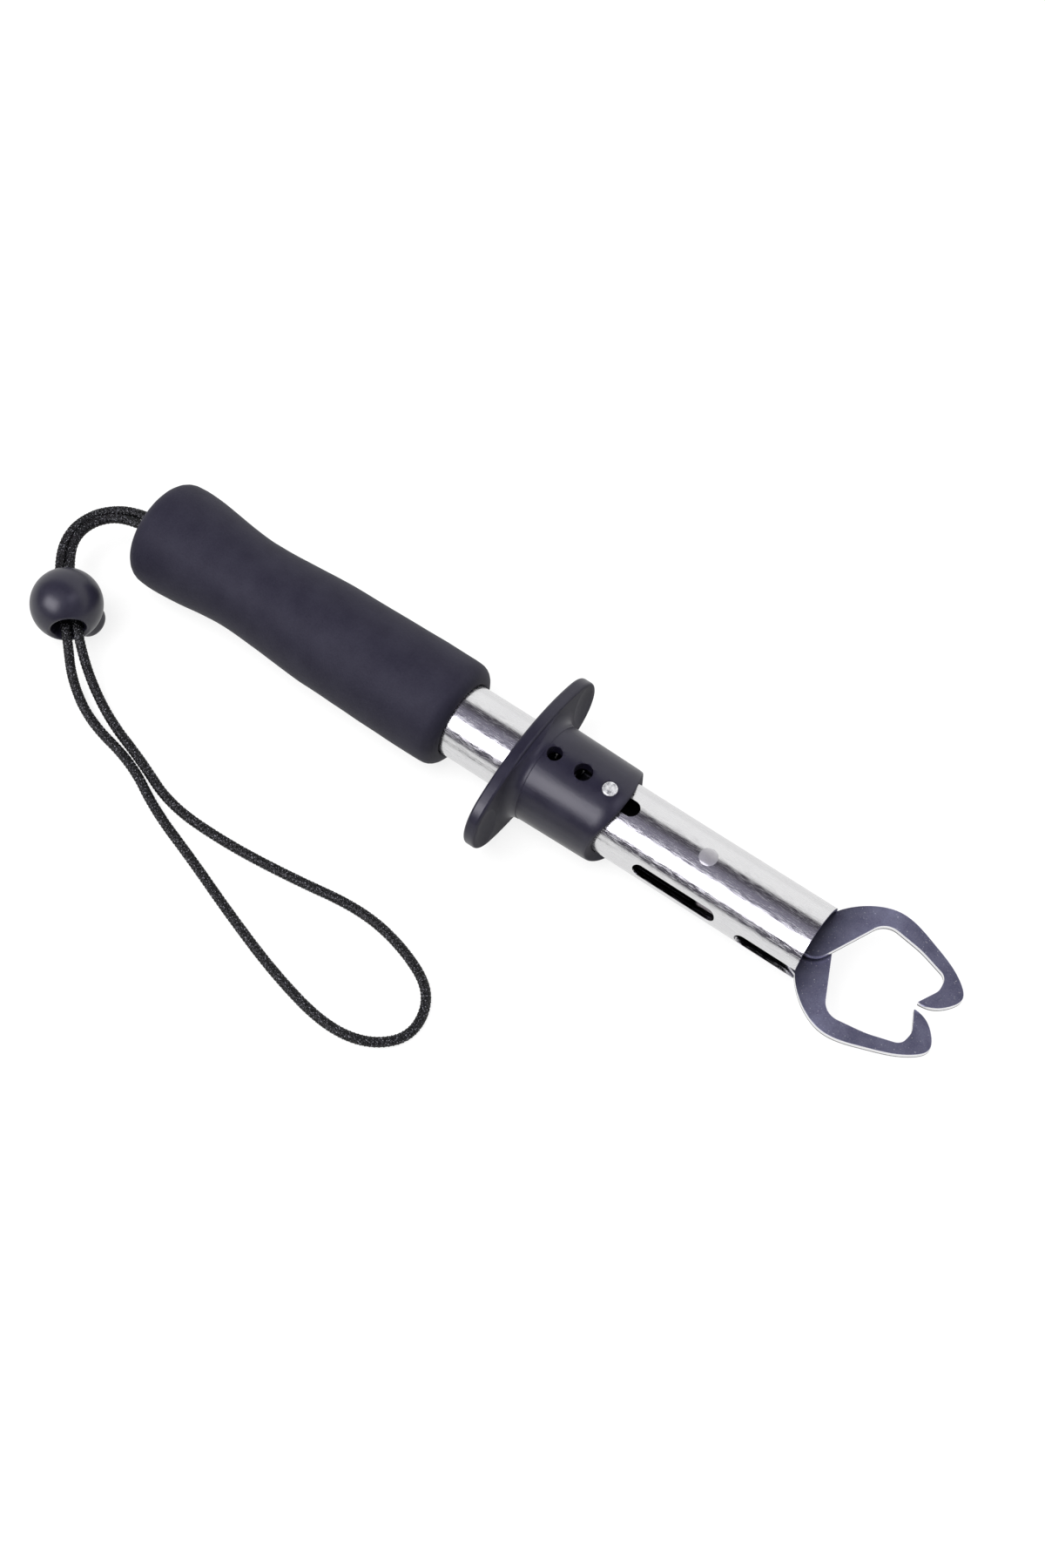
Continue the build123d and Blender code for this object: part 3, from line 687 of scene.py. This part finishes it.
grip_rings = rear_face + rounded_rim(grip_rear, rear_radius, rear_edge, -1)
grip_rings += turned_rings(waist_and_swell, ring_step)
grip_rings += rounded_rim(grip_front, front_radius, front_edge, 1) + front_mouth
foam_grip = lathe("foam_grip", grip_rings, grip_sides, grip_middle_z)
outer_skin = foam_grip.vertex_groups.new(name="skin")
outer_skin.add(
    [
        vertex.index
        for vertex in foam_grip.data.vertices
        if hypot(vertex.co.y, vertex.co.z - grip_middle_z) > skin_radius
    ],
    1.0,
    "REPLACE",
)
foam_swell = bpy.data.textures.new("foam_swell", "CLOUDS")
foam_swell.noise_scale = swell_size
finish_with(
    foam_grip,
    "DISPLACE",
    texture=foam_swell,
    texture_coords="LOCAL",
    vertex_group="skin",
    strength=swell_depth,
    mid_level=swell_level,
)
bpy.ops.object.shade_smooth()
eva_foam, tree, shader = piece_material(
    "ground_foam", (0.015, 0.014, 0.024), metallic=0.0, roughness=0.58
)
shader.inputs["Specular IOR Level"].default_value = 0.16
use_mottle(
    tree, shader, dark=(0.012, 0.011, 0.020), light=(0.019, 0.018, 0.029),
    patch_scale=140, speck_scale=1900, specks=0.35,
)
use_grain(tree, shader, scale=1500, depth=0.00005)
foam_grip.data.materials.append(eva_foam)
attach(foam_grip, "barrel")
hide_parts("grip_sleeve")

# Cord lock. A moulded nylon ball with a big hole for the cord, and a button of the same
# nylon across it, which the lock's spring pushes out so that it pinches the cord.
lock_edge = 0.0002
lock_nylon, tree, shader = piece_material(
    "lock_nylon", (0.013, 0.012, 0.022), metallic=0.0, roughness=0.33
)
use_mottle(
    tree, shader, dark=(0.011, 0.010, 0.019), light=(0.016, 0.015, 0.026),
    patch_scale=240, speck_scale=2600, specks=0.4,
)
use_grain(tree, shader, scale=2600, depth=0.00001)
lock_ball = eased("cord_lock_body", "lock_ball", "barrel", lock_edge, lock_nylon)
lock_button = eased(
    "cord_lock_button", "lock_button", "lock_button", lock_edge, lock_nylon
)

# Lock spring. Fine round steel wire, wound cold with one closed turn at each end. It sits in
# the ball, behind the button.
button_way = Vector((0.30401, 0.29358, -0.90631))
lock_seat = Vector((-0.13484, -0.03525, 0.02097))
wire_resolution = 3
wire_roundness = 4
places_a_turn = 14
closed_pitch = 0.98


def smooth_curve(name, places, resolution, looped=False):
    """Smooth curve that the places steer."""
    curve = bpy.data.curves.new(name, "CURVE")
    curve.dimensions = "3D"
    curve.resolution_u = resolution
    run = curve.splines.new("NURBS")
    run.points.add(len(places) - 1)
    for knot, place in zip(run.points, places):
        knot.co = (*place, 1)
    run.order_u = 3
    run.use_endpoint_u = not looped
    run.use_cyclic_u = looped
    route = bpy.data.objects.new(name, curve)
    scene.collection.objects.link(route)
    return route


def wire_along(name, places, thickness, looped, material):
    """Smooth round wire or cord that the places steer, as a mesh."""
    piece = smooth_curve(name, places, wire_resolution, looped)
    piece.data.bevel_depth = thickness / 2
    piece.data.bevel_resolution = wire_roundness
    piece.data.use_fill_caps = not looped
    select_only(piece)
    bpy.ops.object.convert(target="MESH")
    piece = bpy.context.object
    bpy.ops.object.shade_smooth()
    piece.data.materials.append(material)
    return piece


def coil(name, seat, way, length, outer, wire, turns, material):
    """Coil spring of round wire, with one closed turn at each end."""
    side = way.orthogonal().normalized()
    up = way.cross(side)
    closed = wire / length * closed_pitch
    places = []
    for index in range(places_a_turn * (turns + 2) + 1):
        turned = index / places_a_turn
        if turned < 1:
            rise = closed * turned
        elif turned > turns + 1:
            rise = 1 - closed * (turns + 2 - turned)
        else:
            rise = closed + (1 - 2 * closed) * (turned - 1) / turns
        angle = 2 * pi * turned
        reach = side * cos(angle) + up * sin(angle)
        places.append(seat + way * (wire / 2 + (length - wire) * rise) + reach * (outer - wire) / 2)
    return wire_along(name, places, wire, False, material)


spring_steel, tree, shader = piece_material(
    "spring_steel", (0.55, 0.55, 0.57), metallic=1.0, roughness=0.28
)
use_mottle(
    tree, shader, dark=(0.46, 0.45, 0.46), light=(0.62, 0.62, 0.64),
    patch_scale=300, speck_scale=3200, specks=0.5,
)
use_grain(tree, shader, scale=3600, depth=0.000006)
lock_coil = coil(
    "lock_coil",
    lock_seat,
    button_way,
    length=0.0036,
    outer=0.0060,
    wire=0.0006,
    turns=3,
    material=spring_steel,
)
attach(lock_coil, "barrel")
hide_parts("cord_lock_spring")
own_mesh(lock_coil)

# Lanyard. One braided nylon cord, doubled, that runs out of the grip, through the lock and
# round a wrist loop that lies on the table. Its two ends are knotted inside the tube.
cord_thickness = 0.0027
cord_step = 0.0003
route_resolution = 40
pillow_power = 0.6
mean_pillow = 0.75
cord_points = [
    (-0.12065, 0.0016, 0.0156),
    (-0.1325, 0.0016, 0.0156),
    (-0.1434, -0.0046, 0.0150),
    (-0.1472, -0.0150, 0.0138),
    (-0.14169, -0.02588, 0.0128),
    (-0.12505, -0.04110, 0.0128),
    (-0.1198, -0.0475, 0.0055),
    (-0.1095, -0.0532, 0.00135),
    (-0.0920, -0.0564, 0.00135),
    (-0.0778, -0.0638, 0.00135),
    (-0.0608, -0.0693, 0.00135),
    (-0.0428, -0.0758, 0.00135),
    (-0.0228, -0.0822, 0.00135),
    (-0.0038, -0.0860, 0.00135),
    (0.0090, -0.0834, 0.00135),
    (0.0166, -0.0750, 0.00135),
    (0.0132, -0.0630, 0.00135),
    (-0.0003, -0.0570, 0.00135),
    (-0.0158, -0.0548, 0.00135),
    (-0.0368, -0.0583, 0.00135),
    (-0.0568, -0.0604, 0.00135),
    (-0.0758, -0.0602, 0.00135),
    (-0.0906, -0.0543, 0.00135),
    (-0.1046, -0.0500, 0.00135),
    (-0.1153, -0.0448, 0.0055),
    (-0.12297, -0.03908, 0.0128),
    (-0.13961, -0.02387, 0.0128),
    (-0.1450, -0.0143, 0.0138),
    (-0.1408, -0.0052, 0.0150),
    (-0.1308, -0.0016, 0.0156),
    (-0.12065, -0.0016, 0.0156),
]


def smooth_line(name, points, resolution):
    """Places along the smooth spline that the points steer."""
    route = smooth_curve(name, points, resolution)
    bpy.context.view_layer.update()
    traced = bpy.data.meshes.new_from_object(route)
    places = [vertex.co.copy() for vertex in traced.vertices]
    bpy.data.objects.remove(route)
    return places


def even_steps(places, step):
    """The same line in equal steps of about the given length, and its length."""
    reach = [0.0]
    for before, after in zip(places, places[1:]):
        reach.append(reach[-1] + (after - before).length)
    count = round(reach[-1] / step)
    even = []
    at = 0
    for index in range(count + 1):
        wanted = reach[-1] * index / count
        while at < len(places) - 2 and reach[at + 1] < wanted:
            at += 1
        share = (wanted - reach[at]) / (reach[at + 1] - reach[at])
        even.append(places[at].lerp(places[at + 1], min(1.0, share)))
    return even, reach[-1]


def braided_tube(name, line, length, thickness, strands, lay_length, relief, sides):
    """Round braid along a line: strands that wind both ways and cross over and under."""
    points = []
    along = (line[1] - line[0]).normalized()
    side = along.orthogonal().normalized()
    for index, place in enumerate(line):
        heading = (line[min(index + 1, len(line) - 1)] - line[max(index - 1, 0)]).normalized()
        side = (side - heading * side.dot(heading)).normalized()
        up = heading.cross(side)
        wound = strands * length * index / (len(line) - 1) / lay_length
        for spoke in range(sides):
            share = spoke / sides
            one = strands * share + wound
            other = strands * share - wound
            pillow = abs(sin(pi * one) * sin(pi * other)) ** pillow_power
            radius = thickness / 2 + relief * (pillow - mean_pillow)
            points.append(place + (side * cos(2 * pi * share) + up * sin(2 * pi * share)) * radius)
    faces = []
    for ring in range(len(line) - 1):
        for spoke in range(sides):
            after = (spoke + 1) % sides
            faces.append((
                ring * sides + spoke,
                ring * sides + after,
                (ring + 1) * sides + after,
                (ring + 1) * sides + spoke,
            ))
    last = (len(line) - 1) * sides
    faces.append(tuple(reversed(range(sides))))
    faces.append(tuple(range(last, last + sides)))
    mesh = bpy.data.meshes.new(name)
    mesh.from_pydata(points, [], faces)
    wrap = mesh.uv_layers.new(name="wrap")
    for polygon in mesh.polygons:
        if len(polygon.vertices) > 4:
            continue
        for loop, corner in zip(polygon.loop_indices, ((0, 0), (1, 0), (1, 1), (0, 1))):
            ring, spoke = divmod(polygon.vertices[0], sides)
            turned, gone = spoke + corner[0], ring + corner[1]
            wrap.data[loop].uv = (turned / sides, gone / (len(line) - 1))
    piece = bpy.data.objects.new(name, mesh)
    scene.collection.objects.link(piece)
    select_only(piece)
    bpy.ops.object.shade_smooth()
    return piece


cord_route = smooth_line("lanyard_route", cord_points, route_resolution)
cord_line, cord_length = even_steps(cord_route, cord_step)
braided_cord = braided_tube(
    "braided_lanyard",
    cord_line,
    cord_length,
    cord_thickness,
    strands=8,
    lay_length=0.0092,
    relief=0.0004,
    sides=40,
)
black_braid, tree, shader = piece_material(
    "black_braid", (0.004, 0.004, 0.005), metallic=0.0, roughness=0.24
)
shader.inputs["Specular IOR Level"].default_value = 0.25
threads = use_mottle(
    tree, shader, dark=(0.0, 0.0, 0.0), light=(0.010, 0.010, 0.011),
    patch_scale=700, speck_scale=2400, specks=0.8,
)
glints = speckle(tree, threads["Color"], scale=2300, threshold=0.62, colour=(0.13, 0.13, 0.15))
feed(tree, shader.inputs["Base Color"], glints)
use_grain(tree, shader, scale=1500, depth=0.00022)
braided_cord.data.materials.append(black_braid)
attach(braided_cord, "barrel")
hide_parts("lanyard_cord")

# Knot and its washer. The cord's two ends are tied together behind a turned steel washer,
# which the tube's rolled rear edge holds.
knot_length = 0.0071
knot_spread = 0.00134
knot_steps = 48
knot_rear, knot_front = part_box("lanyard_knot")
knot_middle = Vector(((knot_rear[0] + knot_front[0]) / 2, 0, (knot_rear[2] + knot_front[2]) / 2))


def dress(material, *names):
    """Gives CAD pieces a finish, on their objects' own slots."""
    for name in names:
        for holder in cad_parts[name].material_slots:
            holder.link = "OBJECT"
            holder.material = material


knot_places = []
for index in range(knot_steps):
    angle = 2 * pi * index / knot_steps
    trefoil = Vector((
        -sin(3 * angle) * knot_length / 2,
        (sin(angle) + 2 * sin(2 * angle)) * knot_spread,
        (cos(angle) - 2 * cos(2 * angle)) * knot_spread,
    ))
    knot_places.append(knot_middle + trefoil)
end_knot = wire_along("end_knot", knot_places, cord_thickness, True, black_braid)
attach(end_knot, "barrel")
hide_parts("lanyard_knot")
turned_steel, tree, shader = piece_material(
    "turned_steel", (0.52, 0.52, 0.53), metallic=1.0, roughness=0.32
)
use_mottle(
    tree, shader, dark=(0.44, 0.43, 0.44), light=(0.60, 0.60, 0.61),
    patch_scale=260, speck_scale=3000, specks=0.5,
)
use_grain(tree, shader, scale=3000, depth=0.000008)
dress(turned_steel, "knot_washer")

# Plunger and cam pin. Turned and milled steel, painted near-black as painted shade, which slides in
# the tube. Its prongs carry the turned pin that works both cam slots.
plunger_edge = 0.00025
# Painted shade: the plunger sits in deep shade inside the tube, and its colour is painted
# near-black for it.
shade_black_steel, tree, shader = piece_material(
    "shade_black_steel", (0.018, 0.018, 0.021), metallic=1.0, roughness=0.42
)
use_mottle(
    tree, shader, dark=(0.012, 0.012, 0.014), light=(0.026, 0.026, 0.030),
    patch_scale=260, speck_scale=3000, specks=0.5,
)
use_grain(tree, shader, scale=3000, depth=0.000008)
eased("plunger", "shade_darkened_plunger", "trigger", plunger_edge, shade_black_steel)
dress(turned_steel, "cam_pin")

# Return spring. Round steel wire, wound with closed ends, between the plunger and a steel
# washer, which rests on a turned pin across the tube.
return_seat = Vector((-0.03385, 0, 0.0156))
return_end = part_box("return_spring")[1][0]
return_coil = coil(
    "return_coil",
    return_seat,
    Vector((1, 0, 0)),
    length=return_end - return_seat.x,
    outer=0.0156,
    wire=0.0013,
    turns=10,
    material=spring_steel,
)
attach(return_coil, "barrel")
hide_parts("return_spring")
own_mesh(return_coil)
dress(turned_steel, "spring_washer", "stop_pin")

# Collar pin. Bright steel, pressed through the collar, both tube slots and the plunger. Its
# ends are turned slightly round and sit just inside the collar's skin.
pin_rounding = 0.0005
pin_steel, tree, shader = piece_material(
    "pin_steel", (0.78, 0.77, 0.79), metallic=0.55, roughness=0.30
)
pin_ends = use_mottle(
    tree, shader, dark=(0.22, 0.22, 0.25), light=(0.95, 0.95, 0.96),
    patch_scale=800, speck_scale=3600, specks=0.3,
)
use_grain(tree, shader, scale=1100, depth=0.00008)
vary_roughness(tree, shader, pin_ends["Mask"], low=0.22, high=0.42)
eased("collar_pin", "bright_pin", "trigger", pin_rounding, pin_steel, segments=4)

# Pivot. A steel rivet, set and ground flush with the tube, through both plates, with nylon
# sleeves and a thin nylon disc that keep them on the centre line.
rivet_edge = 0.0001
rivet_steel, tree, shader = piece_material(
    "rivet_steel", (0.74, 0.73, 0.75), metallic=1.0, roughness=0.48
)
use_mottle(
    tree, shader, dark=(0.68, 0.67, 0.69), light=(0.80, 0.79, 0.81),
    patch_scale=500, speck_scale=3400, specks=0.5,
)
use_grain(tree, shader, scale=3000, depth=0.00001)
eased("pivot_rivet", "ground_rivet", "barrel", rivet_edge, rivet_steel)
plain_nylon, tree, shader = piece_material(
    "plain_nylon", (0.62, 0.60, 0.54), metallic=0.0, roughness=0.45
)
use_mottle(
    tree, shader, dark=(0.56, 0.54, 0.48), light=(0.68, 0.66, 0.60),
    patch_scale=200, speck_scale=2600, specks=0.4,
)
use_grain(tree, shader, scale=2600, depth=0.00001)
dress(plain_nylon, "upper_spacer", "lower_spacer", "jaw_washer")
